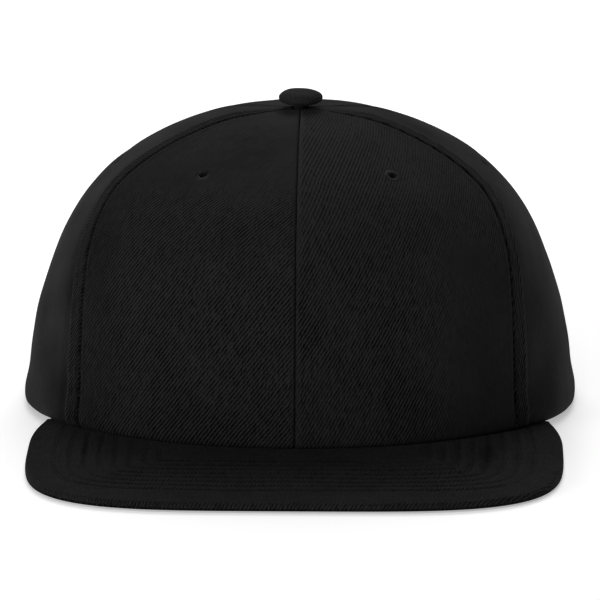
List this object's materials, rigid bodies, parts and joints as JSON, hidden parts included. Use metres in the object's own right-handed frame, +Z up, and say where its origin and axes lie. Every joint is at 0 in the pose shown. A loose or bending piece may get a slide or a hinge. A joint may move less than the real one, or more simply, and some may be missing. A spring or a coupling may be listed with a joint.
{
  "type": "snapback cap",
  "caption": "Flat-peaked cap of black twill with a high structured crown, top button, worked eyelets and a snap strap across the arch at the back.",
  "frame": {"origin": "middle of the cap's outer size in plan, on the table that it rests on", "axes": "-Y the way that the peak points, +X the wearer's left, +Z up through the top button"},
  "size_m": [0.1884, 0.2568, 0.1073],
  "materials": {
    "crown_twill": "black wool-blend twill, matt with a soft sheen",
    "eyelet_thread": "black embroidery thread, satin",
    "button_cloth": "black twill stretched over a button",
    "peak_twill": "black twill, stitched in rows through the peak",
    "sweatband_cloth": "black plain-woven band, matt",
    "strap_plastic": "black moulded plastic, satin"
  },
  "bodies": {
    "root": {"back_right_panel": "crown_twill", "side_right_panel": "crown_twill", "front_right_panel": "crown_twill", "front_left_panel": "crown_twill", "side_left_panel": "crown_twill", "back_left_panel": "crown_twill", "back_right_eyelet": "eyelet_thread", "side_right_eyelet": "eyelet_thread", "front_right_eyelet": "eyelet_thread", "front_left_eyelet": "eyelet_thread", "side_left_eyelet": "eyelet_thread", "back_left_eyelet": "eyelet_thread", "top_button": "button_cloth", "peak": "peak_twill", "sweatband": "sweatband_cloth", "snap_strap": "strap_plastic"}
  },
  "joints": []
}
